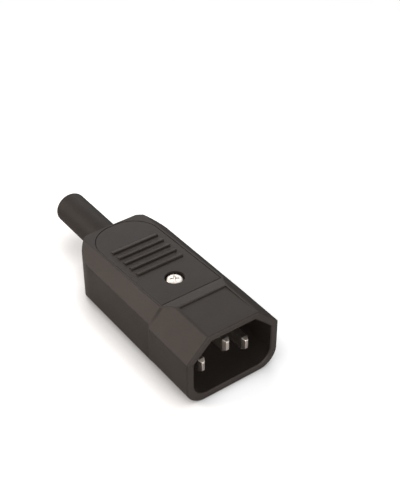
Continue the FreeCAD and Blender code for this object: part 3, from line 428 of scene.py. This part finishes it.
# crown: height = side + rise times the root of 1 - (radius / head radius) cubed, less the cross
crown_radii = rings(head_radius * np.concatenate([
    np.linspace(0, 0.66, 34), np.linspace(0.68, 1.0, 14)]), around)
seat = high.z - head_height
rise = head_height - head_side
crown = seat + head_side + rise * np.sqrt(np.clip(1 - (crown_radii / head_radius) ** 3, 0, 1))
along_one = crown_radii * np.cos(turn + cross_turn)
along_other = crown_radii * np.sin(turn + cross_turn)
cross = np.maximum(arm(along_one, along_other, cross_length, cross_half_width),
                   arm(along_other, along_one, cross_length, cross_half_width))
crown = crown - cross_depth * cross

# shank: the radius falls in a V between the threads, which climb one pitch in a turn and deepen
# from nothing below a plain length
shank_radius, neck, pitch, thread_depth = 0.0015, 0.0001, 0.0005, 0.00022
plain_length, run_out, point_taper = 0.0020, 0.0005, 0.0004
side_radii = rings([head_radius, head_radius - head_chamfer, shank_radius + neck, shank_radius],
                   around)
side_heights = rings([seat + head_chamfer, seat, seat, seat - neck], around)
shank_heights = rings(np.linspace(seat - 2 * neck, low.z + point_taper, 240), around)
phase = (shank_heights / pitch - turn / (2 * math.pi)) % 1
deepened = np.clip((seat - plain_length - shank_heights) / run_out, 0, 1)
shank_radii = shank_radius - thread_depth * deepened * np.abs(2 * phase - 1)
point_radii = rings([shank_radius - point_taper, 0.0], around)
point_heights = rings([low.z, low.z], around)
screw = turned("cross_recess_screw",
               np.vstack([crown, side_heights, shank_heights, point_heights]),
               np.vstack([crown_radii, side_radii, shank_radii, point_radii]),
               upright_axis("assembly_screw"))
screw.data.materials.append(zinc)
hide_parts("assembly_screw")
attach(screw, "root")


# The nut: a hexagonal M3 nut in the same plating, pressed into its recess from below.
# Its corners are turned off at 30 degrees, and its bore is countersunk.

low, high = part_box("assembly_nut")
around = 96
turn = np.linspace(0, 2 * math.pi, around, endpoint=False)
flat_radius, bore, countersink, facing = (high.y - low.y) / 2, 0.00155, 0.0002, 0.0001
# the hexagon's radius is the flat's distance over the cosine of the turn from the flat's middle
hexagon = flat_radius / np.cos(turn % (math.pi / 3) - math.pi / 6)
inner, faced = np.full(around, bore), np.full(around, flat_radius - facing)
corner_drop = (hexagon - faced) * math.tan(math.radians(30))
bottom, top = np.full(around, low.z), np.full(around, high.z)
nut = turned("hexagonal_nut", np.stack([
    top - countersink, bottom + countersink, bottom, bottom,
    bottom + corner_drop, top - corner_drop, top, top]), np.stack([
    inner, inner, inner + countersink, faced,
    hexagon, hexagon, faced, inner + countersink]), upright_axis("assembly_nut"), closed=True)
crisp = nut.modifiers.new("turned_edges", "BEVEL")
crisp.width, crisp.segments, crisp.angle_limit = 0.00008, 2, math.radians(20)
crisp.harden_normals = True
nut.data.materials.append(zinc)
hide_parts("assembly_nut")
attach(nut, "root")


# The terminal screws, the wire washers and the clamp's screws: small zinc-plated steel parts
# inside the shell, with the same plating as the long screw.

for name, node in frame["nodes"].items():
    if frame_slots[name] == "plated_steel" and not name.startswith("assembly"):
        node.data.materials.clear()
        node.data.materials.append(zinc)


# The contact block and the cord clamp: dark grey moulded inserts inside the shell. The block
# keeps the three contacts apart, and the clamp is screwed down over the cord.

# filled moulding compound: a plain dark grey with a dull, even grain
insert = moulded("dark_grey_moulded_insert", "#3a3a3b", "#414142",
                 gloss=0.45, dull=0.60, grain_size=0.00012, grain_depth=0.00001,
                 seed=7.0, specular=0.5)
for name in ("contact_block", "cord_clamp"):
    frame["nodes"][name].data.materials.clear()
    frame["nodes"][name].data.materials.append(insert)


# The cord sleeve: a soft black tube, its collar held in the shell's groove and its free end
# rounded. It is moulded in thermoplastic rubber, duller than the shell.

arc_points = 7


def rounded(start, corner, end, radius):
    """Points on the arc that rounds a square corner: centre + radius times the turn from one
    side's direction to the other's."""
    start, corner, end = (np.array(point, float) for point in (start, corner, end))
    first = (start - corner) / np.linalg.norm(start - corner)
    second = (end - corner) / np.linalg.norm(end - corner)
    centre = corner + (first + second) * radius
    turn = np.linspace(0, math.pi / 2, arc_points)[:, None]
    return centre - radius * (second * np.cos(turn) + first * np.sin(turn))


low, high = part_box("cable_boot")
around = 96
turn = np.linspace(0, 2 * math.pi, around, endpoint=False)
axis_height = (low.z + high.z) / 2
collar_radius = (high.z - low.z) / 2
sleeve_radius, bore_radius, collar_length = 0.00483, 0.0033, 0.0018
collar_end = low.y + collar_length
# the section's corners: distance along Y, radius, and how far each is rounded
corners = [(low.y, bore_radius, 0.0003), (high.y, bore_radius, 0.0004),
           (high.y, sleeve_radius, 0.0010), (collar_end, sleeve_radius, 0.0002),
           (collar_end, collar_radius, 0.0002), (low.y, collar_radius, 0.0002)]
section = np.vstack([rounded(before[:2], corner[:2], after[:2], corner[2]) for before, corner, after
                     in zip(corners[-1:] + corners[:-1], corners, corners[1:] + corners[:1])])
# the section is carried round an axis along Y: x = radius cos(turn), z = axis + radius sin(turn)
along, radii = rings(section[:, 0], around), rings(section[:, 1], around)
sleeve = skinned("cord_sleeve", np.stack([
    radii * np.cos(turn), along, axis_height + radii * np.sin(turn)], axis=2), closed=True)
# black rubber: a brown-black, flatter and softer in its shine than the shell
rubber = moulded("black_thermoplastic_rubber", "#221d1a", "#27221e",
                 gloss=0.55, dull=0.70, grain_size=0.00010, grain_depth=0.00001,
                 seed=9.0, specular=0.18)
sleeve.data.materials.append(rubber)
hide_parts("cable_boot")
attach(sleeve, "root")
